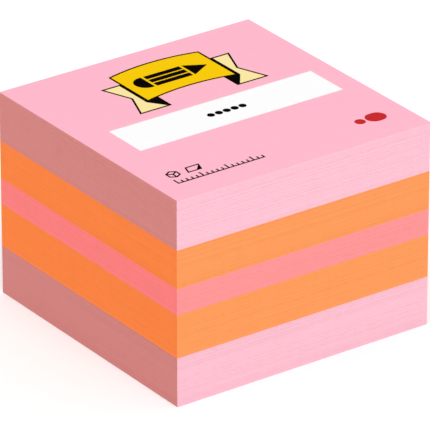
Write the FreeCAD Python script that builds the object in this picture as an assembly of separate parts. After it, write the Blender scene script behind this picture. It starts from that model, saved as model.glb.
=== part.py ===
import FreeCAD, Part
import math
import os

from FreeCAD import Vector

# A cube of sticky notes. Four hundred square sheets lie in five bands of coloured paper between a
# plain backing sheet and a printed cover sheet. A strip of low-tack adhesive along the back edge of
# each sheet's underside holds it to the sheet below.
# Lengths are millimetres. +Z is up, +X is to the reader's right and +Y points to the adhesive edge.
# The origin is at the middle of the underside.

# Paper
SHEET_SIDE = 51.0
PAD_HEIGHT = 37.2  # without the ink, to the nearest whole note
SHEET_THICKNESS = 0.0925
BACKING_THICKNESS = 0.10
COVER_THICKNESS = 0.10
EDGE_STEP = 0.03  # the furthest that a sheet lies off the middle of the stack, each way

# Share of the notes in each band; the top pink band has the rest
BOTTOM_PINK_SHARE = 0.2375
LOWER_ORANGE_SHARE = 0.21
MIDDLE_CORAL_SHARE = 0.1275
UPPER_ORANGE_SHARE = 0.1875

# Adhesive strip
ADHESIVE_WIDTH = 12.0
ADHESIVE_EDGE_GAP = 1.0  # bare paper between the strip and the sheet's back edge
ADHESIVE_FILM = 0.03

# Ink on the cover sheet
INK_FILM = 0.02
RIM_WIDTH = 0.35

# White panel, by its distance from the cover's edges
PANEL_LEFT = 6.0
PANEL_RIGHT = 4.0
PANEL_BACK = 23.3
PANEL_DEPTH = 9.05
PANEL_DOT_COUNT = 5
PANEL_DOT_RADIUS = 0.68
PANEL_DOT_PITCH = 1.6

# Ribbon banner, by the distance of its middle from the cover's left and back edges
BANNER_LEFT = 27.1
BANNER_BACK = 11.7
BANNER_WIDTH = 18.4
BANNER_DEPTH = 11.5
BANNER_RISE = 1.2  # how far the middle of the ribbon is arched up
TAIL_REACH = 3.9
TAIL_DROP = 3.4
TAIL_NOTCH = 2.2
FOLD_WIDTH = 2.5

# Pencil on the banner
PENCIL_LENGTH = 14.6
PENCIL_WIDTH = 4.2
PENCIL_CAP = 0.4  # straight part of the cap, in front of its round end
PENCIL_TIP = 3.8
PENCIL_GAP = 0.5
PENCIL_GROOVE = 0.35

# Small marks, by the distance of their corner from the cover's left and front edges
MARKS_LEFT = 3.9
MARKS_FRONT = 5.0
MARK_LINE = 0.28
RULE_LENGTH = 17.0
RULE_PITCH = 1.0
RULE_SHORT_TICK = 0.7
RULE_LONG_TICK = 1.3
RULE_TICKS_PER_LONG = 5
SIGN_RISE = 0.5  # bare paper between the long ticks and the signs above them
BOX_SIGN_RADIUS = 1.3
LEAF_SIGN_WIDTH = 2.8
LEAF_SIGN_DEPTH = 1.9
LEAF_SIGN_SLANT = 0.6
SIGN_GAP = 1.0

# Red mark, by the distance of its corner from the cover's right and front edges
RED_RIGHT = 4.2
RED_FRONT = 5.3
RED_BAR_LENGTH = 3.8
RED_BAR_DEPTH = 3.1
RED_DOT_RADIUS = 0.95
RED_GAP = 0.35

HALF_SIDE = SHEET_SIDE / 2

# Shares of a turn that never come round to the same place: one for each way that a sheet can slip
GOLDEN_TURN = (math.sqrt(5) - 1) / 2
SILVER_TURN = math.sqrt(2) - 1

LOWER_BANDS_SHARE = BOTTOM_PINK_SHARE + LOWER_ORANGE_SHARE + MIDDLE_CORAL_SHARE + UPPER_ORANGE_SHARE

# Bands from the bottom up: name, share of the notes
BANDS = (
    ("bottom_pink", BOTTOM_PINK_SHARE),
    ("lower_orange", LOWER_ORANGE_SHARE),
    ("middle_coral", MIDDLE_CORAL_SHARE),
    ("upper_orange", UPPER_ORANGE_SHARE),
    ("top_pink", 1 - LOWER_BANDS_SHARE),
)
NOTE_COUNT = round((PAD_HEIGHT - BACKING_THICKNESS - COVER_THICKNESS) / SHEET_THICKNESS)
COVER_TOP = BACKING_THICKNESS + NOTE_COUNT * SHEET_THICKNESS + COVER_THICKNESS


def sheet_corner(index):
    """Front left corner of one sheet. Each lies a little off the last, as knocked up by hand."""
    slip_right = EDGE_STEP * math.sin(2 * math.pi * GOLDEN_TURN * index)
    slip_back = EDGE_STEP * math.sin(2 * math.pi * SILVER_TURN * index)
    return slip_right - HALF_SIDE, slip_back - HALF_SIDE


def sheet(index, base, thickness):
    """One square sheet, cut from its outline."""
    left, front = sheet_corner(index)
    outline = Part.makePlane(SHEET_SIDE, SHEET_SIDE, Vector(left, front, base))
    return outline.extrude(Vector(0, 0, thickness))


def note_base(index):
    """Height of the underside of one note, counted from the lowest, or of the cover above them."""
    return BACKING_THICKNESS + index * SHEET_THICKNESS


def adhesive(index):
    """Strip in the underside of one note or the cover, cut off with it at both sides."""
    left, front = sheet_corner(index)
    near_edge = front + SHEET_SIDE - ADHESIVE_EDGE_GAP - ADHESIVE_WIDTH
    corner = Vector(left, near_edge, note_base(index))
    return Part.makePlane(SHEET_SIDE, ADHESIVE_WIDTH, corner).extrude(Vector(0, 0, ADHESIVE_FILM))


def band(first, following):
    """Notes of one colour as one solid, with the edge of each note standing as it was cut."""
    notes = [sheet(index, note_base(index), SHEET_THICKNESS) for index in range(first, following)]
    return notes[0].multiFuse(notes[1:])


def pad_pieces():
    """Backing sheet, bands, adhesive strips and cover sheet, from the bottom up."""
    pieces = {"backing_sheet": sheet(-1, 0, BACKING_THICKNESS)}
    first = 0
    share_below = 0
    for name, share in BANDS:
        share_below += share
        following = round(NOTE_COUNT * share_below)
        strip = adhesive(first)
        pieces[f"adhesive_{name}"] = strip
        pieces[f"{name}_sheets"] = band(first, following).cut(strip)
        first = following
    strip = adhesive(first)
    pieces["adhesive_cover"] = strip
    pieces["cover_sheet"] = sheet(first, note_base(first), COVER_THICKNESS).cut(strip)
    return pieces


def point(x, y):
    """Place on the print's own flat plane."""
    return Vector(x, y, 0)


def arc(start, middle, end):
    """Round edge through three places."""
    return Part.Arc(point(*start), point(*middle), point(*end)).toShape()


def line(start, end):
    """Straight edge."""
    return Part.LineSegment(point(*start), point(*end)).toShape()


def polygon(*corners):
    """Flat face inside straight edges."""
    ends = [*corners[1:], corners[0]]
    return Part.Face(Part.Wire([line(start, end) for start, end in zip(corners, ends)]))


def rectangle(left, front, width, depth):
    """Flat rectangle from its front left corner."""
    return Part.makePlane(width, depth, point(left, front))


def disc(x, y, radius):
    """Flat disc."""
    return Part.Face(Part.Wire(Part.makeCircle(radius, point(x, y))))


def trimmed(face, *covers):
    """What shows of a face below the faces that lie over it."""
    return face.cut(covers).Faces[0]


def rim(face, width):
    """Line of one width along the inside of a face's edge."""
    return trimmed(face, face.makeOffset2D(-width))


def joined(faces):
    """Faces that touch or overlap, as one."""
    return faces[0].multiFuse(faces[1:]).removeSplitter()


def inked(faces, films_below=0):
    """Ink films of one print, on bare paper or on top of the films already there."""
    base = Vector(0, 0, COVER_TOP + films_below * INK_FILM)
    films = []
    for face in faces:
        placed = face.translated(base)
        films.extend(placed.extrude(Vector(0, 0, INK_FILM)).Solids)
    return films


def panel():
    """White panel that runs across the cover."""
    width = SHEET_SIDE - PANEL_LEFT - PANEL_RIGHT
    front = HALF_SIDE - PANEL_BACK - PANEL_DEPTH
    return rectangle(PANEL_LEFT - HALF_SIDE, front, width, PANEL_DEPTH)


def panel_dots():
    """Row of dots in the middle of the panel."""
    middle = panel().CenterOfMass
    first = middle.x - PANEL_DOT_PITCH * (PANEL_DOT_COUNT - 1) / 2
    return [
        disc(first + turn * PANEL_DOT_PITCH, middle.y, PANEL_DOT_RADIUS)
        for turn in range(PANEL_DOT_COUNT)
    ]


def banner_middle():
    """Middle of the ribbon's front."""
    return BANNER_LEFT - HALF_SIDE, HALF_SIDE - BANNER_BACK


def banner_front():
    """Arched front of the ribbon, with straight ends."""
    x, y = banner_middle()
    left, right = x - BANNER_WIDTH / 2, x + BANNER_WIDTH / 2
    low, high = y - BANNER_DEPTH / 2, y + BANNER_DEPTH / 2
    edges = [
        arc((left, low), (x, low + BANNER_RISE), (right, low)),
        line((right, low), (right, high)),
        arc((right, high), (x, high + BANNER_RISE), (left, high)),
        line((left, high), (left, low)),
    ]
    return Part.Face(Part.Wire(edges))


def banner_fold(side):
    """Dark fold where the ribbon turns back under its front, at the left (-1) or right (1)."""
    x, y = banner_middle()
    end = x + side * BANNER_WIDTH / 2
    inner = end - side * FOLD_WIDTH
    low = y - BANNER_DEPTH / 2
    fold = polygon((end, low), (inner, y), (inner, low - TAIL_DROP))
    return trimmed(fold, banner_front())


def banner_tail(side):
    """Swallowtail end of the ribbon, at the left (-1) or right (1), where nothing lies over it."""
    x, y = banner_middle()
    inner = x + side * (BANNER_WIDTH / 2 - FOLD_WIDTH)
    outer = x + side * (BANNER_WIDTH / 2 + TAIL_REACH)
    low = y - BANNER_DEPTH / 2 - TAIL_DROP
    high = low + BANNER_DEPTH
    notch = outer - side * TAIL_NOTCH
    tail = polygon((inner, low), (outer, low), (notch, (low + high) / 2), (outer, high), (inner, high))
    return trimmed(tail, banner_front(), banner_fold(side))


def pencil():
    """Rounded cap, grooved shaft and pointed tip of a pencil that lies along the ribbon."""
    x, y = banner_middle()
    y += BANNER_RISE / 2
    left, right = x - PENCIL_LENGTH / 2, x + PENCIL_LENGTH / 2
    low, high = y - PENCIL_WIDTH / 2, y + PENCIL_WIDTH / 2
    shoulder = left + PENCIL_WIDTH / 2
    cap_right = shoulder + PENCIL_CAP
    cap_edges = [
        arc((shoulder, high), (left, y), (shoulder, low)),
        line((shoulder, low), (cap_right, low)),
        line((cap_right, low), (cap_right, high)),
        line((cap_right, high), (shoulder, high)),
    ]
    tip_left = right - PENCIL_TIP
    shaft_left = cap_right + PENCIL_GAP
    shaft_length = tip_left - PENCIL_GAP - shaft_left
    stripe = (PENCIL_WIDTH - 2 * PENCIL_GROOVE) / 3
    shaft = [
        rectangle(shaft_left, low + turn * (stripe + PENCIL_GROOVE), shaft_length, stripe)
        for turn in range(3)
    ]
    tip = polygon((tip_left, low), (right, y), (tip_left, high))
    return [Part.Face(Part.Wire(cap_edges)), *shaft, tip]


def rule():
    """Small rule with a long tick at every fifth place."""
    left = MARKS_LEFT - HALF_SIDE
    front = MARKS_FRONT - HALF_SIDE
    ticks = [rectangle(left, front, RULE_LENGTH + MARK_LINE, MARK_LINE)]
    for turn in range(int(RULE_LENGTH / RULE_PITCH) + 1):
        height = RULE_SHORT_TICK if turn % RULE_TICKS_PER_LONG else RULE_LONG_TICK
        ticks.append(rectangle(left + turn * RULE_PITCH, front, MARK_LINE, MARK_LINE + height))
    return joined(ticks)


def hexagon(radius):
    """Corners of a six-sided figure, from the far one clockwise."""
    turns = [math.pi / 3 * corner for corner in range(6)]
    return [(radius * math.sin(turn), radius * math.cos(turn)) for turn in turns]


def box_sign(x, y):
    """Box seen from a corner: a six-sided block whose three near faces are cut out to leave lines."""
    line_middle = hexagon(BOX_SIGN_RADIUS - MARK_LINE / 2 / math.cos(math.pi / 6))
    faces = (line_middle[1:4], line_middle[3:6], [line_middle[5], *line_middle[:2]])
    windows = [polygon((0, 0), *face).makeOffset2D(-MARK_LINE / 2) for face in faces]
    return trimmed(polygon(*hexagon(BOX_SIGN_RADIUS)), *windows).translated(point(x, y))


def leaf_sign(x, y):
    """Slanted outline of one sheet with a filled corner."""
    left, low = x - LEAF_SIGN_WIDTH / 2, y - LEAF_SIGN_DEPTH / 2
    right, high = left + LEAF_SIGN_WIDTH, low + LEAF_SIGN_DEPTH
    slant = LEAF_SIGN_SLANT / 2
    near_right, far_right = (right - slant, low), (right + slant, high)
    leaf = polygon((left - slant, low), near_right, far_right, (left + slant, high))
    corner = polygon(near_right, far_right, (x, low))
    return joined([rim(leaf, MARK_LINE), corner])


def signs():
    """Box sign and sheet sign side by side above the rule."""
    left = MARKS_LEFT - HALF_SIDE
    y = MARKS_FRONT - HALF_SIDE + MARK_LINE + RULE_LONG_TICK + SIGN_RISE + BOX_SIGN_RADIUS
    leaf_middle = left + 2 * BOX_SIGN_RADIUS + SIGN_GAP + (LEAF_SIGN_WIDTH + LEAF_SIGN_SLANT) / 2
    return [box_sign(left + BOX_SIGN_RADIUS, y), leaf_sign(leaf_middle, y)]


def red_mark():
    """Dot and round-ended bar near the front right corner."""
    radius = RED_BAR_DEPTH / 2
    right = HALF_SIDE - RED_RIGHT
    left = right - RED_BAR_LENGTH
    low = RED_FRONT - HALF_SIDE
    y, high = low + radius, low + RED_BAR_DEPTH
    edges = [
        arc((left + radius, high), (left, y), (left + radius, low)),
        line((left + radius, low), (right - radius, low)),
        arc((right - radius, low), (right, y), (right - radius, high)),
        line((right - radius, high), (left + radius, high)),
    ]
    return [disc(left - RED_GAP - RED_DOT_RADIUS, y, RED_DOT_RADIUS), Part.Face(Part.Wire(edges))]


def print_pieces():
    """Ink films on the cover: fields of colour first, and the black marks over them."""
    front = banner_front()
    tails = [banner_tail(-1), banner_tail(1)]
    folds = [banner_fold(-1), banner_fold(1)]
    on_fields = [rim(face, RIM_WIDTH) for face in (front, *tails)] + pencil() + panel_dots()
    on_paper = folds + signs() + [rule()]
    return {
        "print_white_panel": inked([panel()]),
        "print_banner_front": inked([front]),
        "print_banner_tails": inked(tails),
        "print_red_mark": inked(red_mark()),
        "print_black_marks": inked(on_paper) + inked(on_fields, films_below=1),
    }


def write(name, solids):
    """One STEP file with all the solids of one piece."""
    shape = solids[0] if len(solids) == 1 else Part.makeCompound(solids)
    shape.exportStep(os.path.join("parts", f"{name}.step"))


os.makedirs("parts", exist_ok=True)
for piece, shape in pad_pieces().items():
    write(piece, shape.Solids)
for piece, films in print_pieces().items():
    write(piece, films)
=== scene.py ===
"""The looks of a cube of sticky notes: its cut sheet edges, its printed cover and soft studio light.

Lengths are metres. +Z is up, +X is to the reader's right and +Y points to the edge that is stuck
together. The notes of one colour are a block, and the blocks lie between a backing sheet and a
printed cover sheet.
"""
import logging
import math
from dataclasses import dataclass, field
from enum import Enum, IntEnum
from typing import Any, ClassVar

import bpy
import numpy as np
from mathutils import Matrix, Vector


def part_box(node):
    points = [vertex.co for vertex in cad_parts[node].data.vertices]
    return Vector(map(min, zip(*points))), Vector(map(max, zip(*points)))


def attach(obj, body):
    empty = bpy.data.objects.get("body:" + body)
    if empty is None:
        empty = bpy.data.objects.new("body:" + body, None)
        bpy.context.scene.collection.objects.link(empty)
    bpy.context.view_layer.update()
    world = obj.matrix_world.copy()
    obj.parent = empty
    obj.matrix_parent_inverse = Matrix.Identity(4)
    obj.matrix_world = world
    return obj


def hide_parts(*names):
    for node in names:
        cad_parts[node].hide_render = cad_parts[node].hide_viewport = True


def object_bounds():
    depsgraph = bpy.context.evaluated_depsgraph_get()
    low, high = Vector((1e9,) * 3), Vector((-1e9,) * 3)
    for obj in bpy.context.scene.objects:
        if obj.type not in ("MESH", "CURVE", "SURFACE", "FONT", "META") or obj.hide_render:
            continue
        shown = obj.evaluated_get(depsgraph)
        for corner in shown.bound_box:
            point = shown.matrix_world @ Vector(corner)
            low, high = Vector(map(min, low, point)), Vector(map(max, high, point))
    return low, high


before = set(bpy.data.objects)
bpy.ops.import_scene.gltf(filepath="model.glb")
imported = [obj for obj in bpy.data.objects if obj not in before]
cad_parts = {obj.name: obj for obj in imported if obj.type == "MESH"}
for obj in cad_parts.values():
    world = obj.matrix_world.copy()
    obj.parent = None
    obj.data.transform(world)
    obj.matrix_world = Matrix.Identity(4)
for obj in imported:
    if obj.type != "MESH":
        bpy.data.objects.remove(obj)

# Red, green and blue of a colour, and X, Y and Z of a place, a direction or a scale
Colour = tuple[float, float, float]
Axes = tuple[float, float, float]

CAD_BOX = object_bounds()
NODES: dict[str, bpy.types.Object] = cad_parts
BODY = "root"

COVER_LOW, COVER_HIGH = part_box("cover_sheet")
SHEET_SIDE = COVER_HIGH.x - COVER_LOW.x
NOTE_THICKNESS = 92.5e-6
# The seam below a note, and the lower and the upper rim of its cut edge
RINGS_PER_NOTE = 3
FULL_TURN = 2 * math.pi
WHITE: Colour = (1.0, 1.0, 1.0)

# Shares of a turn that never come round to the same place: one for each way that a sheet can slip
GOLDEN_TURN = (math.sqrt(5) - 1) / 2
SILVER_TURN = math.sqrt(2) - 1

log = logging.getLogger("note_pad")


class Ray(Enum):
    """Kinds of ray to which the floor and the backdrop show themselves white."""

    CAMERA = "Is Camera Ray"
    GLOSSY = "Is Glossy Ray"
    TRANSMISSION = "Is Transmission Ray"


class MixSocket(IntEnum):
    """Numbers of the sockets that a Mix node uses when it mixes colours."""

    SHARE = 0
    FIRST = 6
    SECOND = 7
    RESULT = 2


class Graph:
    """A node tree that grows node by node, each joined to the ones before it."""

    def __init__(self, tree: bpy.types.NodeTree) -> None:
        """Take over a tree and empty it."""
        self.tree = tree
        self.tree.nodes.clear()

    def feed(self, socket: bpy.types.NodeSocket, value: Any) -> None:
        """Give an input its value.

        Args:
            socket: The input.
            value: A source socket, a number, a place, or a colour without its alpha.
        """
        if isinstance(value, bpy.types.NodeSocket):
            self.tree.links.new(value, socket)
        elif socket.type == "RGBA":
            socket.default_value = (*value, 1.0)
        else:
            socket.default_value = value

    def add(
        self, kind: str, inputs: dict[str | int, Any] | None = None, **settings: Any
    ) -> bpy.types.Node:
        """Add a node.

        Args:
            kind: Type of the node.
            inputs: Value of each input that isn't left as it is, by its name or number.
            settings: Options of the node itself.

        Returns:
            The new node.
        """
        node = self.tree.nodes.new(kind)
        for name, value in settings.items():
            setattr(node, name, value)
        for key, value in (inputs or {}).items():
            self.feed(node.inputs[key], value)
        return node

    def sum_up(self, operation: str, *values: Any) -> bpy.types.NodeSocket:
        """Work out one number from others, by the name of the sum, such as MULTIPLY."""
        return self.add("ShaderNodeMath", dict(enumerate(values)), operation=operation).outputs[0]

    def between(self, share: Any, low: float, high: float) -> bpy.types.NodeSocket:
        """Spread a share from 0 to 1 over the range from low to high."""
        return self.sum_up("MULTIPLY_ADD", share, high - low, low)

    def shade(self, mask: Any, depth: float) -> bpy.types.NodeSocket:
        """Tone that falls by a depth as a mask goes from 0 to 1, and is 1 where the mask is half."""
        return self.between(mask, 1 + depth / 2, 1 - depth / 2)

    def mix(self, share: Any, first: Any, second: Any, blend: str = "MIX") -> bpy.types.NodeSocket:
        """Mix two colours.

        Args:
            share: Share of the second colour, as a number or a source socket.
            first: Colour or source socket.
            second: Colour or source socket.
            blend: Name of the way to mix.

        Returns:
            The socket with the mixed colour.
        """
        node = self.add(
            "ShaderNodeMix",
            {MixSocket.SHARE: share, MixSocket.FIRST: first, MixSocket.SECOND: second},
            data_type="RGBA",
            blend_type=blend,
        )
        return node.outputs[MixSocket.RESULT]

    def place(self) -> bpy.types.NodeSocket:
        """Tell where a point of the surface lies in the pad's own frame."""
        return self.add("ShaderNodeTexCoord").outputs["Object"]

    def stretched(self, place: bpy.types.NodeSocket, scale: Axes) -> bpy.types.NodeSocket:
        """Scale a place along each axis, so that a pattern is drawn out along the small ones."""
        node = self.add("ShaderNodeVectorMath", {0: place, 1: scale}, operation="MULTIPLY")
        return node.outputs[0]

    def noise(self, place: bpy.types.NodeSocket, size: Any, detail: float) -> bpy.types.NodeSocket:
        """Cloudy pattern from 0 to 1.

        Args:
            place: The place.
            size: Rough size of one cloud, in metres, as a number or a source socket.
            detail: Number of finer layers laid over it.

        Returns:
            The socket with the pattern.
        """
        scale = self.sum_up("DIVIDE", 1.0, size)
        inputs = {"Vector": place, "Scale": scale, "Detail": detail}
        return self.add("ShaderNodeTexNoise", inputs).outputs[0]

    def shown(self) -> bpy.types.NodeSocket:
        """Tell the rays that look at the studio from those that light the pad.

        Returns:
            A socket that is 1 for a ray that looks, and 0 for one that lights.
        """
        path = self.add("ShaderNodeLightPath")
        camera, glossy, transmission = (path.outputs[ray.value] for ray in Ray)
        return self.sum_up("MAXIMUM", camera, self.sum_up("MAXIMUM", glossy, transmission))


class SharedEffect:
    """A shader node group that is built once and placed in each material that uses it.

    Attributes:
        name: Name of the group.
        inputs: Each number that the group takes, with its usual value.
        outputs: Each pattern that it puts out.
    """

    name: ClassVar[str]
    inputs: ClassVar[dict[str, float]]
    outputs: ClassVar[tuple[str, ...]]

    def build(self, graph: Graph, given: bpy.types.Node) -> dict[str, bpy.types.NodeSocket]:
        """Build the nodes between the group's input node and its outputs, and tell their sockets."""
        raise NotImplementedError

    def tree(self) -> bpy.types.NodeTree:
        """Find the effect's node group, or build it the first time.

        Returns:
            The node group.
        """
        made = bpy.data.node_groups.get(self.name)
        if made:
            return made
        made = bpy.data.node_groups.new(self.name, "ShaderNodeTree")
        for name, value in self.inputs.items():
            socket = made.interface.new_socket(name, in_out="INPUT", socket_type="NodeSocketFloat")
            socket.default_value = value
        for name in self.outputs:
            made.interface.new_socket(name, in_out="OUTPUT", socket_type="NodeSocketFloat")
        graph = Graph(made)
        given = graph.add("NodeGroupInput")
        graph.add("NodeGroupOutput", self.build(graph, given))
        return made

    def laid_on(self, graph: Graph, **values: float) -> bpy.types.NodeOutputs:
        """Place the effect in a material, with the material's own values, and tell its patterns."""
        inputs = {name.replace("_", " ").title(): value for name, value in values.items()}
        return graph.add("ShaderNodeGroup", inputs, node_tree=self.tree()).outputs


class PaperGrain(SharedEffect):
    """Fibres and cloudy formation of uncoated paper, in the sheet and showing through thin ink.

    Attributes:
        draw: Scale along each axis that draws the fibres out along X.
        fibre_detail: Number of finer layers in the fibres.
        teeth: Number of tooth grains to the size of one fibre.
        tooth_depth: How deep a grain of tooth is cut, against the height of a fibre.
        cloud_detail: Number of finer layers in the clouds.
    """

    name = "paper_grain"
    inputs = {"Fibre Size": 180e-6, "Cloud Size": 2.4e-3}
    outputs = ("Cloud", "Height")

    draw: ClassVar[Axes] = (0.35, 1.0, 1.0)
    fibre_detail: ClassVar[float] = 3.0
    teeth: ClassVar[float] = 1.7
    tooth_depth: ClassVar[float] = 0.35
    cloud_detail: ClassVar[float] = 4.0

    def build(self, graph: Graph, given: bpy.types.Node) -> dict[str, bpy.types.NodeSocket]:
        """Build drawn-out fibres with finer tooth between them, and soft clouds.

        Args:
            graph: The group's own tree.
            given: The group's input node.

        Returns:
            The source socket of each output.
        """
        place = graph.place()
        fibre_size, cloud_size = given.outputs["Fibre Size"], given.outputs["Cloud Size"]
        fibres = graph.noise(graph.stretched(place, self.draw), fibre_size, self.fibre_detail)
        tooth = graph.add(
            "ShaderNodeTexVoronoi",
            {"Vector": place, "Scale": graph.sum_up("DIVIDE", self.teeth, fibre_size)},
            feature="SMOOTH_F1",
        )
        return {
            "Cloud": graph.noise(place, cloud_size, self.cloud_detail),
            "Height": graph.sum_up(
                "MULTIPLY_ADD", tooth.outputs["Distance"], -self.tooth_depth, fibres
            ),
        }


class KnifeCutAndSideShade(SharedEffect):
    """Edges of a stack that one knife stroke cut: a tone for each sheet and drag marks down all.

    Also a mask of the left and right sides, where the papers' colours carry painted shade.

    Attributes:
        face_slope: Upright share of the normal above which a place is on a sheet's face.
        drag: Scale along each axis that draws the marks out down the stack.
        mark_detail: Number of finer layers in the marks.
    """

    name = "knife_cut_and_side_shade"
    inputs = {"Sheet Thickness": NOTE_THICKNESS, "Mark Spacing": 0.7e-3}
    outputs = ("Sheet Tone", "Edge", "Painted Shade Sides", "Drag Marks")

    face_slope: ClassVar[float] = 0.995
    drag: ClassVar[Axes] = (1.0, 1.0, 0.03)
    mark_detail: ClassVar[float] = 5.0

    def build(self, graph: Graph, given: bpy.types.Node) -> dict[str, bpy.types.NodeSocket]:
        """Build the sheets' tones, the edge mask, the mask of the sides with painted shade, and the
        drag marks.

        Args:
            graph: The group's own tree.
            given: The group's input node.

        Returns:
            The source socket of each output.
        """
        geometry = graph.add("ShaderNodeNewGeometry")
        normal = graph.add("ShaderNodeSeparateXYZ", {0: geometry.outputs["True Normal"]})
        facing_x, facing_y, facing_z = (graph.sum_up("ABSOLUTE", axis) for axis in normal.outputs)
        place = graph.place()
        height = graph.add("ShaderNodeSeparateXYZ", {0: place}).outputs["Z"]
        sheets_below = graph.sum_up("DIVIDE", height, given.outputs["Sheet Thickness"])
        tone = graph.add(
            "ShaderNodeTexWhiteNoise",
            {"W": graph.sum_up("FLOOR", sheets_below)},
            noise_dimensions="1D",
        )
        down_the_stack = graph.stretched(place, self.drag)
        return {
            "Sheet Tone": tone.outputs["Value"],
            "Edge": graph.sum_up("LESS_THAN", facing_z, self.face_slope),
            # Left and right sides, where the papers' colours carry painted shade
            "Painted Shade Sides": graph.sum_up("GREATER_THAN", facing_x, facing_y),
            "Drag Marks": graph.noise(
                down_the_stack, given.outputs["Mark Spacing"], self.mark_detail
            ),
        }


class InkLay(SharedEffect):
    """How evenly a printed ink lies: heavier and lighter clouds, with fine pinholes.

    Attributes:
        cloud_detail: Number of finer layers in the clouds.
        speck_detail: Number of finer layers in the specks that may be pinholes.
        first_hole: Height of a speck above which a pinhole starts to open.
        full_hole: Height above which it is fully open.
    """

    name = "ink_lay"
    inputs = {"Cloud Size": 1.6e-3, "Pinhole Size": 120e-6}
    outputs = ("Density", "Pinholes")

    cloud_detail: ClassVar[float] = 5.0
    speck_detail: ClassVar[float] = 1.0
    first_hole: ClassVar[float] = 0.68
    full_hole: ClassVar[float] = 0.78

    def build(self, graph: Graph, given: bpy.types.Node) -> dict[str, bpy.types.NodeSocket]:
        """Build the clouds and the pinholes.

        Args:
            graph: The group's own tree.
            given: The group's input node.

        Returns:
            The source socket of each output.
        """
        place = graph.place()
        specks = graph.noise(place, given.outputs["Pinhole Size"], self.speck_detail)
        pinholes = graph.add(
            "ShaderNodeMapRange",
            {"Value": specks, "From Min": self.first_hole, "From Max": self.full_hole},
        )
        return {
            "Density": graph.noise(place, given.outputs["Cloud Size"], self.cloud_detail),
            "Pinholes": pinholes.outputs[0],
        }


PAPER_GRAIN = PaperGrain()
KNIFE_CUT_AND_SIDE_SHADE = KnifeCutAndSideShade()
INK_LAY = InkLay()


@dataclass(frozen=True)
class Finish:
    """What a surface is made of.

    Attributes:
        slot: The record's material slot, or the paint's own name on a piece of the studio.
    """

    slot: str

    def shader(self, graph: Graph) -> bpy.types.Node:
        """Build the surface's shader in a material's tree."""
        raise NotImplementedError

    def material(self) -> bpy.types.Material:
        """Make the material.

        Returns:
            The material.
        """
        made = bpy.data.materials.new(self.slot)
        made.use_nodes = True
        graph = Graph(made.node_tree)
        graph.add("ShaderNodeOutputMaterial", {"Surface": self.shader(graph).outputs[0]})
        return made


@dataclass(frozen=True)
class PaperFinish(Finish):
    """Uncoated coloured paper, with its edges as the knife left them.

    Shade is painted into the colour of its left and right edges.

    Attributes:
        face: Colour of a sheet's face.
        edge: Colour of the front and back edges.
        shaded_side_edge: Colour of the left and right edges, with painted shade that makes it deeper
            than the colour of the front and back edges.
        fibre_size: Rough thickness of a bundle of fibres.
        cloud_size: Rough size of a cloud of fibre.
        mark_spacing: Rough space between two drag marks of the knife.
        cloud_tone: How much darker the paper is between its clouds.
        fibre_tone: How much darker it is between its fibres.
        sheet_tone: How much one sheet's edge may be darker than another's.
        mark_tone: How much darker a drag mark is.
        tooth: Height of the paper's grain.
        mark_depth: Depth of the drag marks.
        roughness: Roughness between the fibres and on top of them.
        gloss: How strongly it mirrors.
    """

    face: Colour
    edge: Colour
    shaded_side_edge: Colour
    fibre_size: float = 180e-6
    cloud_size: float = 2.4e-3
    mark_spacing: float = 0.7e-3
    cloud_tone: float = 0.035
    fibre_tone: float = 0.045
    sheet_tone: float = 0.05
    mark_tone: float = 0.04
    tooth: float = 14e-6
    mark_depth: float = 12e-6
    roughness: tuple[float, float] = (0.78, 0.92)
    gloss: float = 0.25

    def shader(self, graph: Graph) -> bpy.types.Node:
        """Build the paper: its face or edge colour with painted side shade, toned by grain, sheets and
        drag marks.

        Args:
            graph: The material's tree.

        Returns:
            The shader node.
        """
        grain = PAPER_GRAIN.laid_on(graph, fibre_size=self.fibre_size, cloud_size=self.cloud_size)
        cut = KNIFE_CUT_AND_SIDE_SHADE.laid_on(graph, mark_spacing=self.mark_spacing)
        sheets = graph.sum_up("MULTIPLY", cut["Sheet Tone"], cut["Edge"])
        marks = graph.sum_up("MULTIPLY", cut["Drag Marks"], cut["Edge"])
        # The left and right edges take a colour with painted shade, deeper than the front and back
        # edges
        edge = graph.mix(cut["Painted Shade Sides"], self.edge, self.shaded_side_edge)
        colour = graph.mix(cut["Edge"], self.face, edge)
        tones = (
            graph.shade(grain["Cloud"], self.cloud_tone),
            graph.shade(grain["Height"], -self.fibre_tone),
            graph.shade(sheets, self.sheet_tone),
            graph.shade(marks, self.mark_tone),
        )
        for tone in tones:
            colour = graph.mix(1.0, colour, tone, "MULTIPLY")
        tooth = graph.add("ShaderNodeBump", {"Height": grain["Height"], "Distance": self.tooth})
        relief = graph.add(
            "ShaderNodeBump",
            {"Height": marks, "Distance": self.mark_depth, "Normal": tooth.outputs[0]},
        )
        return graph.add(
            "ShaderNodeBsdfPrincipled",
            {
                "Base Color": colour,
                "Roughness": graph.between(grain["Height"], *self.roughness),
                "Specular IOR Level": self.gloss,
                "Normal": relief.outputs[0],
            },
        )


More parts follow.
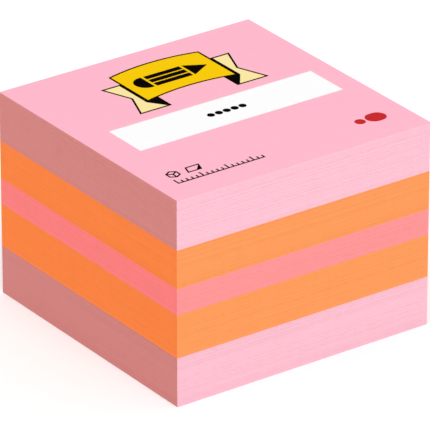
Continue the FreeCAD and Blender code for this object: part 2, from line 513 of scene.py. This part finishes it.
@dataclass(frozen=True)
class InkFinish(Finish):
    """Printed ink, thin enough for the paper's grain to show in its surface.

    Attributes:
        colour: Colour where the ink lies full.
        thin_colour: Colour where it lies thin.
        cloud_size: Rough size of a heavier or lighter cloud.
        cloud_thinning: How thin the ink is where a cloud is lightest.
        hole_thinning: How thin it is in a pinhole.
        gloss: How strongly it mirrors.
        roughness: Roughness where it lies full, and where it lies thin.
        tooth: Height of the paper's grain through the ink.
    """

    colour: Colour
    thin_colour: Colour
    cloud_size: float = 1.6e-3
    cloud_thinning: float = 0.15
    hole_thinning: float = 0.7
    gloss: float = 0.15
    roughness: tuple[float, float] = (0.5, 0.8)
    tooth: float = 9e-6

    def shader(self, graph: Graph) -> bpy.types.Node:
        """Build the ink: its colour, thinned by clouds and pinholes.

        Args:
            graph: The material's tree.

        Returns:
            The shader node.
        """
        grain = PAPER_GRAIN.laid_on(graph)
        lay = INK_LAY.laid_on(graph, cloud_size=self.cloud_size)
        thin = graph.sum_up(
            "MAXIMUM",
            graph.sum_up("MULTIPLY", lay["Density"], self.cloud_thinning),
            graph.sum_up("MULTIPLY", lay["Pinholes"], self.hole_thinning),
        )
        relief = graph.add("ShaderNodeBump", {"Height": grain["Height"], "Distance": self.tooth})
        return graph.add(
            "ShaderNodeBsdfPrincipled",
            {
                "Base Color": graph.mix(thin, self.colour, self.thin_colour),
                "Roughness": graph.between(thin, *self.roughness),
                "Specular IOR Level": self.gloss,
                "Normal": relief.outputs[0],
            },
        )


@dataclass(frozen=True)
class AdhesiveFinish(Finish):
    """Low-tack film of tiny glue beads, milky and a little shiny.

    Attributes:
        bead: Colour of the beads.
        gap: Colour between them.
        bead_size: Rough size of one bead.
        bead_height: How far a bead stands up.
        roughness: Roughness on top of a bead, and between the beads.
    """

    bead: Colour
    gap: Colour
    bead_size: float = 60e-6
    bead_height: float = 8e-6
    roughness: tuple[float, float] = (0.35, 0.65)

    def shader(self, graph: Graph) -> bpy.types.Node:
        """Build the film: rounded beads close together.

        Args:
            graph: The material's tree.

        Returns:
            The shader node.
        """
        inputs = {"Vector": graph.place(), "Scale": 1 / self.bead_size}
        off_bead = graph.add("ShaderNodeTexVoronoi", inputs).outputs["Distance"]
        relief = graph.add(
            "ShaderNodeBump", {"Height": off_bead, "Distance": self.bead_height}, invert=True
        )
        return graph.add(
            "ShaderNodeBsdfPrincipled",
            {
                "Base Color": graph.mix(off_bead, self.bead, self.gap),
                "Roughness": graph.between(off_bead, *self.roughness),
                "Normal": relief.outputs[0],
            },
        )


@dataclass(frozen=True)
class FloorPaint(Finish):
    """Matte paint that shows itself white, but throws back a little less light than white would.

    Attributes:
        bounce: Share of the light that it throws back onto the pad.
        glow: What it adds to its own light where it shows itself.
    """

    bounce: float = 0.7
    glow: float = 0.15

    def shader(self, graph: Graph) -> bpy.types.Node:
        """Build the paint, with its glow added.

        Args:
            graph: The material's tree.

        Returns:
            The shader node.
        """
        shown = graph.shown()
        colour = graph.mix(shown, (self.bounce,) * 3, WHITE)
        paint = graph.add("ShaderNodeBsdfDiffuse", {"Color": colour})
        strength = graph.sum_up("MULTIPLY", shown, self.glow)
        glow = graph.add("ShaderNodeEmission", {"Strength": strength})
        return graph.add("ShaderNodeAddShader", {0: paint.outputs[0], 1: glow.outputs[0]})


# The last colour of each paper is that of its left and right edges, with shade painted in
PINK_PAPER = PaperFinish(
    "paper_pink",
    face=(0.94, 0.53, 0.63),
    edge=(0.96, 0.565, 0.665),
    shaded_side_edge=(0.697, 0.262, 0.245),
)
COVER_PAPER = PaperFinish(
    "paper_cover_pink",
    face=(0.965, 0.463, 0.576),
    edge=(0.96, 0.50, 0.60),
    shaded_side_edge=(0.697, 0.262, 0.245),
)
ORANGE_PAPER = PaperFinish(
    "paper_orange",
    face=(0.95, 0.34, 0.12),
    edge=(0.96, 0.357, 0.113),
    shaded_side_edge=(0.98, 0.2585, 0.055),
)
CORAL_PAPER = PaperFinish(
    "paper_coral",
    face=(0.95, 0.31, 0.32),
    edge=(0.96, 0.33, 0.335),
    shaded_side_edge=(0.985, 0.241, 0.241),
)
ADHESIVE = AdhesiveFinish("adhesive", bead=(0.86, 0.84, 0.78), gap=(0.72, 0.68, 0.60))
WHITE_INK = InkFinish(
    "ink_white", colour=(0.98, 0.98, 0.98), thin_colour=(0.97, 0.90, 0.92), cloud_size=2.6e-3
)
BRIGHT_YELLOW_INK = InkFinish(
    "ink_bright_yellow", colour=(0.965, 0.603, 0.0005), thin_colour=(0.97, 0.64, 0.02), gloss=0.002
)
PALE_YELLOW_INK = InkFinish(
    "ink_pale_yellow", colour=(0.975, 0.81, 0.35), thin_colour=(0.965, 0.75, 0.45), gloss=0.05
)
BLACK_INK = InkFinish(
    "ink_black", colour=(0.001, 0.0005, 0.0005), thin_colour=(0.012, 0.006, 0.006), gloss=0.001
)
RED_INK = InkFinish(
    "ink_red", colour=(0.585, 0.013, 0.0173), thin_colour=(0.66, 0.06, 0.07), gloss=0.008
)


def side_faces(ring_count: int, point_count: int, first: int = 0) -> list[np.ndarray]:
    """Join each ring to the next.

    Args:
        ring_count: Number of rings.
        point_count: Number of places round each, anticlockwise from above.
        first: Number of the first ring's first place.

    Returns:
        The numbers of each face's corners. The faces look outwards if the rings go up.
    """
    lower = first + point_count * np.arange(ring_count - 1)[:, None]
    upper = lower + point_count
    here = np.arange(point_count)
    following = np.roll(here, -1)
    corners = (lower + here, lower + following, upper + following, upper + here)
    return list(np.stack(corners, axis=-1).reshape(-1, len(corners)))


def closed_mesh(name: str, places: np.ndarray, faces: list[np.ndarray]) -> bpy.types.Mesh:
    """Make a mesh.

    Args:
        name: The mesh's name.
        places: Places, one row each, or in rings of rows.
        faces: Numbers of each face's corners, anticlockwise from outside.

    Returns:
        The mesh.
    """
    made = bpy.data.meshes.new(name)
    made.from_pydata(places.reshape(-1, 3).tolist(), [], [face.tolist() for face in faces])
    made.validate()
    return made


def stand_in(name: str, mesh: bpy.types.Mesh, node: str) -> bpy.types.Object:
    """Place a mesh that stands for a node of the frame.

    Args:
        name: The object's name.
        mesh: Its mesh.
        node: The node that it stands for.

    Returns:
        The object.
    """
    made = bpy.data.objects.new(name, mesh)
    bpy.context.scene.collection.objects.link(made)
    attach(made, BODY)
    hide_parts(node)
    return made


@dataclass(frozen=True)
class AdhesiveStrip:
    """Low-tack film in a pocket under a sheet, drawn back a little from the cut at both ends.

    Attributes:
        node: The strip's name in the frame.
        finish: Its film.
        number: Number of the strip, counted from the bottom of the pad.
        pull_back: How far its ends lie inside the cut.
        waver: How far its long edges may wander inwards.
        waves: Number of waves along the front and the back edge.
        points: Points along each long edge.
    """

    node: str
    finish: AdhesiveFinish
    number: int
    pull_back: float = 0.15e-3
    waver: float = 0.2e-3
    waves: tuple[int, int] = (7, 9)
    points: int = 48

    def rings(self) -> np.ndarray:
        """Outline of the film, which starts at the front left, on its underside and on its top.

        Returns:
            Places, by ring, place and axis.
        """
        low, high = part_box(self.node)
        along = np.linspace(low.x + self.pull_back, high.x - self.pull_back, self.points)
        share = np.linspace(0.0, 1.0, self.points)
        phases = np.random.default_rng(self.number).random(len(self.waves))
        front_inwards, back_inwards = (
            self.waver * (0.5 - 0.5 * np.sin(FULL_TURN * (waves * share + phase)))
            for waves, phase in zip(self.waves, phases)
        )
        front = np.column_stack((along, low.y + front_inwards))
        back = np.column_stack((along, high.y - back_inwards))[::-1]
        outline = np.concatenate([front, back])
        return np.stack([np.insert(outline, 2, level, axis=1) for level in (low.z, high.z)])

    def mesh(self) -> bpy.types.Mesh:
        """Skin the rings, and close them below and above.

        Returns:
            The closed mesh.
        """
        rings = self.rings()
        ring_count, point_count = rings.shape[:2]
        underside = np.arange(point_count)
        faces = [*side_faces(ring_count, point_count), underside[::-1], point_count + underside]
        return closed_mesh(f"{self.node}_skin", rings, faces)

    def build(self) -> bpy.types.Object:
        """Make the strip, which stands for its node in the frame."""
        return stand_in(f"{self.node}_film", self.mesh(), self.node)


@dataclass
class NoteBlock:
    """The notes of one colour, each with the edge that the knife gave it.

    Attributes:
        node: The block's name in the frame.
        finish: Its paper.
        first: Number of its lowest note, counted from the bottom of the pad.
        strip: The adhesive in its underside.
        side_points: Points along one side of a sheet.
        slip: The furthest that a sheet lies off the middle of the stack.
        wave: How far a sheet's edge may wander inwards along its length.
        waves: Number of waves once round a sheet, for each wave that the wandering is made of.
        seam_depth: Depth of the seam between two sheets where they are stuck together.
        looseness: How many times deeper a loose seam inside the block may be at the free front edge.
        rarity: How rare a loose seam is, as the power that a random share is raised to.
        shoulder: Share of a sheet's thickness that slopes in to the seam, at each of its faces.
        base: Height of the block's underside.
        count: Number of its notes.
        thickness: Thickness of each.
    """

    node: str
    finish: PaperFinish
    first: int
    strip: AdhesiveStrip
    side_points: int = 16
    slip: float = 14e-6
    wave: float = 10e-6
    waves: tuple[int, ...] = (2, 5, 9)
    seam_depth: float = 14e-6
    looseness: float = 4.0
    rarity: float = 6.0
    shoulder: float = 0.16
    base: float = field(init=False)
    count: int = field(init=False)
    thickness: float = field(init=False)

    def __post_init__(self) -> None:
        """Read the block's place from the frame and count its notes."""
        low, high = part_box(self.node)
        self.base = low.z
        self.count = round((high.z - low.z) / NOTE_THICKNESS)
        self.thickness = (high.z - low.z) / self.count

    def outline(self) -> np.ndarray:
        """Walk round a sheet on a square from -1 to 1, anticlockwise from the front left corner.

        Returns:
            Places, one row each. A coordinate of -1 or 1 says that the place is on that side.
        """
        along = np.linspace(-1.0, 1.0, self.side_points, endpoint=False)
        side = np.ones_like(along)
        sides = [(along, -side), (side, along), (-along, side), (-side, -along)]
        return np.concatenate([np.column_stack(pair) for pair in sides])

    def sheet_rims(self, unit: np.ndarray, outward: np.ndarray) -> np.ndarray:
        """Rim of each sheet: the square, slipped a little, with an edge that wanders inwards.

        Args:
            unit: Places round the sheet, on a square from -1 to 1.
            outward: Which way is out at each place.

        Returns:
            Places of each rim, by sheet, place and axis. The sheet below the block comes first and
            the sheet above it last.
        """
        number = np.arange(self.first - 1, self.first + self.count + 1)
        slips = self.slip * np.column_stack(
            [np.sin(FULL_TURN * turn * number) for turn in (GOLDEN_TURN, SILVER_TURN)]
        )
        waves = np.array(self.waves)
        phases = np.array([np.random.default_rng(sheet + 1).random(len(waves)) for sheet in number])
        way_round = np.linspace(0.0, 1.0, len(unit), endpoint=False)
        swings = np.sin(FULL_TURN * (waves[:, None] * way_round + phases[:, :, None]))
        inwards = self.wave * (0.5 - 0.5 * swings.mean(axis=1))
        rims = SHEET_SIDE / 2 * unit + slips[:, None, :]
        return rims - inwards[..., None] * outward

    def seams(self, rims: np.ndarray, unit: np.ndarray, outward: np.ndarray) -> np.ndarray:
        """Bottom of the seam under each sheet and on top of the last.

        Args:
            rims: Places of the rims, with those of the sheets below and above the block.
            unit: Places round the sheet, on a square from -1 to 1.
            outward: Which way is out at each place.

        Returns:
            Places of each seam, by seam, place and axis.
        """
        below, above = rims[:-1], rims[1:]
        freedom = (1 - unit[:, 1]) / 2
        loose = np.random.default_rng(self.first).random((self.count + 1, 1)) ** self.rarity
        # The outermost seams meet the sheets below and above the block, and stay tight
        loose[[0, -1]] = 0.0
        depth = self.seam_depth * (1 + self.looseness * loose * freedom)
        inner = np.where(outward > 0, np.minimum(below, above), np.maximum(below, above))
        middle = np.where(outward == 0, (below + above) / 2, inner)
        return middle - depth[..., None] * outward

    def rings(self) -> np.ndarray:
        """Rings of the block, from the lowest up: those of each note, and the seam on top.

        Returns:
            Places, by ring, place and axis.
        """
        unit = self.outline()
        outward = np.where(np.abs(unit) == 1, np.sign(unit), 0.0)
        rims = self.sheet_rims(unit, outward)
        seams = self.seams(rims, unit, outward)
        level = self.base + self.thickness * np.arange(self.count + 1)[:, None]
        slope = self.thickness * self.shoulder
        rings = np.empty((RINGS_PER_NOTE * self.count + 1, len(unit), 3))
        in_seam, lower_rim, upper_rim = (rings[row::RINGS_PER_NOTE] for row in range(RINGS_PER_NOTE))
        in_seam[..., :2] = seams
        lower_rim[..., :2] = rims[1:-1]
        upper_rim[..., :2] = rims[1:-1]
        in_seam[..., 2] = level
        lower_rim[..., 2] = level[:-1] + slope
        upper_rim[..., 2] = level[1:] - slope
        return rings

    def underside(
        self, outer: np.ndarray, pocket: np.ndarray, pocket_front: float
    ) -> list[np.ndarray]:
        """Underside round the pocket, as one face in front of it and one beside and behind it.

        Args:
            outer: Numbers of the places round the block, anticlockwise from the front left corner.
            pocket: Numbers of the places round the pocket, likewise.
            pocket_front: Where the pocket's front edge lies, along Y.

        Returns:
            The numbers of each face's corners.
        """
        off_front = np.abs(SHEET_SIDE / 2 * self.outline()[:, 1] - pocket_front)
        # Of the front, right, back and left side, the place that is nearest to the pocket's front edge
        nearest = off_front.reshape(-1, self.side_points).argmin(axis=1)
        _, right, _, left = nearest + self.side_points * np.arange(len(nearest))
        front_end = len(pocket) // 2
        in_front = np.concatenate([outer[left:], outer[: right + 1], pocket[:front_end][::-1]])
        behind = np.concatenate([outer[right : left + 1], pocket[:1], pocket[front_end - 1 :][::-1]])
        return [in_front[::-1], behind[::-1]]

    def mesh(self) -> bpy.types.Mesh:
        """Skin the rings, and leave a pocket in the underside that the adhesive fills.

        Returns:
            The closed mesh.
        """
        rings, film = self.rings(), self.strip.rings()
        ring_count, point_count = rings.shape[:2]
        film_points = film.shape[1]
        outer = np.arange(point_count)
        top = outer + point_count * (ring_count - 1)
        pocket = np.arange(film_points) + point_count * ring_count
        ceiling = pocket + film_points
        walls = [face[::-1] for face in side_faces(len(film), film_points, pocket[0])]
        faces = [
            *side_faces(ring_count, point_count),
            top,
            *self.underside(outer, pocket, film[0, 0, 1]),
            *walls,
            ceiling[::-1],
        ]
        places = np.concatenate([rings.reshape(-1, 3), film.reshape(-1, 3)])
        return closed_mesh(f"{self.node}_skin", places, faces)

    def build(self) -> bpy.types.Object:
        """Make the block, which stands for its node in the frame."""
        return stand_in(f"{self.node}_cut", self.mesh(), self.node)


@dataclass
class Pad:
    """The whole pad: five blocks of notes, the adhesive, and the sheets and ink that keep their form.

    Attributes:
        blocks: Node and paper of each block, from the bottom up.
        strips: Node of each adhesive strip: under each block from the bottom up, and under the cover.
        carried: Finish of each node whose form in the frame is already right.
        materials: Each material that is made so far, by its slot.
    """

    blocks: tuple[tuple[str, PaperFinish], ...] = (
        ("bottom_pink_sheets", PINK_PAPER),
        ("lower_orange_sheets", ORANGE_PAPER),
        ("middle_coral_sheets", CORAL_PAPER),
        ("upper_orange_sheets", ORANGE_PAPER),
        ("top_pink_sheets", PINK_PAPER),
    )
    strips: tuple[str, ...] = (
        "adhesive_bottom_pink",
        "adhesive_lower_orange",
        "adhesive_middle_coral",
        "adhesive_upper_orange",
        "adhesive_top_pink",
        "adhesive_cover",
    )
    carried: tuple[tuple[str, Finish], ...] = (
        ("backing_sheet", PINK_PAPER),
        ("cover_sheet", COVER_PAPER),
        ("print_white_panel", WHITE_INK),
        ("print_banner_front", BRIGHT_YELLOW_INK),
        ("print_banner_tails", PALE_YELLOW_INK),
        ("print_black_marks", BLACK_INK),
        ("print_red_mark", RED_INK),
    )
    materials: dict[str, bpy.types.Material] = field(default_factory=dict, init=False)

    def dress(self, piece: bpy.types.Object, finish: Finish) -> None:
        """Give a piece its finish.

        Args:
            piece: The piece.
            finish: Its paper, ink or adhesive.
        """
        if finish.slot not in self.materials:
            self.materials[finish.slot] = finish.material()
        piece.data.materials.clear()
        piece.data.materials.append(self.materials[finish.slot])

    def build(self) -> None:
        """Make the blocks and the strips, and dress every piece."""
        strips = [AdhesiveStrip(node, ADHESIVE, number) for number, node in enumerate(self.strips)]
        first = 0
        for (node, finish), strip in zip(self.blocks, strips):
            block = NoteBlock(node, finish, first, strip)
            self.dress(block.build(), finish)
            first += block.count
            log.info("%s: %d notes of %.4f mm", node, block.count, block.thickness * 1000)
        for strip in strips:
            self.dress(strip.build(), strip.finish)
            log.info("%s: %s", strip.node, strip.finish.slot)
        for node, finish in self.carried:
            self.dress(NODES[node], finish)
            log.info("%s: %s", node, finish.slot)


@dataclass(frozen=True)
class Softbox:
    """A large square lamp that faces the pad.

    Attributes:
        name: The lamp's name.
        towards: Direction from the pad to the lamp.
        level: Light on a surface that faces it, where 1 shows a colour as it is written.
        side: Side of the lamp.
        distance: How far away it is.
    """

    name: str
    towards: Axes
    level: float
    side: float = 0.7
    distance: float = 1.3

    def build(self) -> bpy.types.Object:
        """Hang the lamp.

        Returns:
            The lamp's object.
        """
        lamp = bpy.data.lights.new(self.name, "AREA")
        lamp.shape = "SQUARE"
        lamp.size = self.side
        # A lamp of this many watts gives pi watts to each square metre at its distance, for level 1
        lamp.energy = self.level * (math.pi * self.distance) ** 2
        made = bpy.data.objects.new(self.name, lamp)
        towards = Vector(self.towards).normalized()
        made.location = towards * self.distance
        made.rotation_euler = towards.to_track_quat("Z", "Y").to_euler()
        bpy.context.scene.collection.objects.link(made)
        return made


@dataclass(frozen=True)
class Studio:
    """White floor, even surrounding light and soft lamps.

    Attributes:
        ambient: Level of the light from all round.
        floor_side: Side of the square floor.
        floor_gap: How far the floor lies below the pad, so that the two never meet.
        floor_paint: Finish of the floor.
        softboxes: The lamps.
    """

    ambient: float = 0.57
    floor_side: float = 6.0
    floor_gap: float = 20e-6
    floor_paint: FloorPaint = FloorPaint("floor_paint")
    softboxes: tuple[Softbox, ...] = (
        Softbox("key_softbox", (-0.15, -0.81, 0.565), 0.472),
        Softbox("side_softbox", (-0.92, -0.10, 0.375), 0.295),
        Softbox("fill_softbox", (0.79, 0.53, 0.30), 0.29),
    )

    def floor(self) -> bpy.types.Object:
        """Lay the floor, which shows white with the pad's shadow on it.

        Returns:
            The floor's object.
        """
        half = self.floor_side / 2
        level = CAD_BOX[0][2] - self.floor_gap
        square = ((-half, -half), (half, -half), (half, half), (-half, half))
        corners = [(x, y, level) for x, y in square]
        mesh = bpy.data.meshes.new("floor")
        mesh.from_pydata(corners, [], [(0, 1, 2, 3)])
        mesh.materials.append(self.floor_paint.material())
        made = bpy.data.objects.new("floor", mesh)
        bpy.context.scene.collection.objects.link(made)
        return made

    def surroundings(self) -> None:
        """Fill the world with even light, and show it white."""
        world = bpy.data.worlds.new("studio")
        world.use_nodes = True
        bpy.context.scene.world = world
        graph = Graph(world.node_tree)
        strength = graph.between(graph.shown(), self.ambient, 1.0)
        light = graph.add("ShaderNodeBackground", {"Color": WHITE, "Strength": strength})
        graph.add("ShaderNodeOutputWorld", {"Surface": light.outputs[0]})

    def build(self) -> None:
        """Lay the floor, light the room and hang the lamps."""
        log.info("%s: %.1f m square", self.floor().name, self.floor_side)
        self.surroundings()
        for softbox in self.softboxes:
            log.info("%s: level %.2f", softbox.build().name, softbox.level)
        bpy.context.scene.view_settings.view_transform = "Standard"


@dataclass(frozen=True)
class Camera:
    """A long lens that looks down on the pad's front left corner.

    Attributes:
        azimuth: Turn round the pad from straight in front, in degrees.
        elevation: Height above the horizon, in degrees.
        distance: Distance from the place it looks at.
        target: The place it looks at.
        lens: Focal length in millimetres.
        sensor: Width of the picture behind the lens, in millimetres.
        nearest: Distance from which on it sees.
    """

    azimuth: float = -35.614
    elevation: float = 25.988
    distance: float = 0.960382
    target: Axes = (-0.097e-3, -0.521e-3, 17.616e-3)
    lens: float = 483.22
    sensor: float = 36.0
    nearest: float = 0.01

    def build(self) -> bpy.types.Object:
        """Set up the camera.

        Returns:
            The camera's object.
        """
        turn, tilt = math.radians(self.azimuth), math.radians(self.elevation)
        level = Vector((math.sin(turn), -math.cos(turn), 0.0))
        back = level * math.cos(tilt) + Vector((0.0, 0.0, math.sin(tilt)))
        data = bpy.data.cameras.new("camera")
        data.lens = self.lens
        data.sensor_width = self.sensor
        data.clip_start = self.nearest
        made = bpy.data.objects.new("camera", data)
        made.location = Vector(self.target) + back * self.distance
        made.rotation_euler = back.to_track_quat("Z", "Y").to_euler()
        bpy.context.scene.collection.objects.link(made)
        bpy.context.scene.camera = made
        log.info("%s: %.0f mm lens, %.2f m away", made.name, self.lens, self.distance)
        return made


def main() -> None:
    """Build the pad, the studio and the camera."""
    logging.basicConfig(level=logging.INFO, format="%(name)s: %(message)s")
    Pad().build()
    Studio().build()
    Camera().build()
    bpy.context.view_layer.update()


if __name__ == "__main__":
    main()
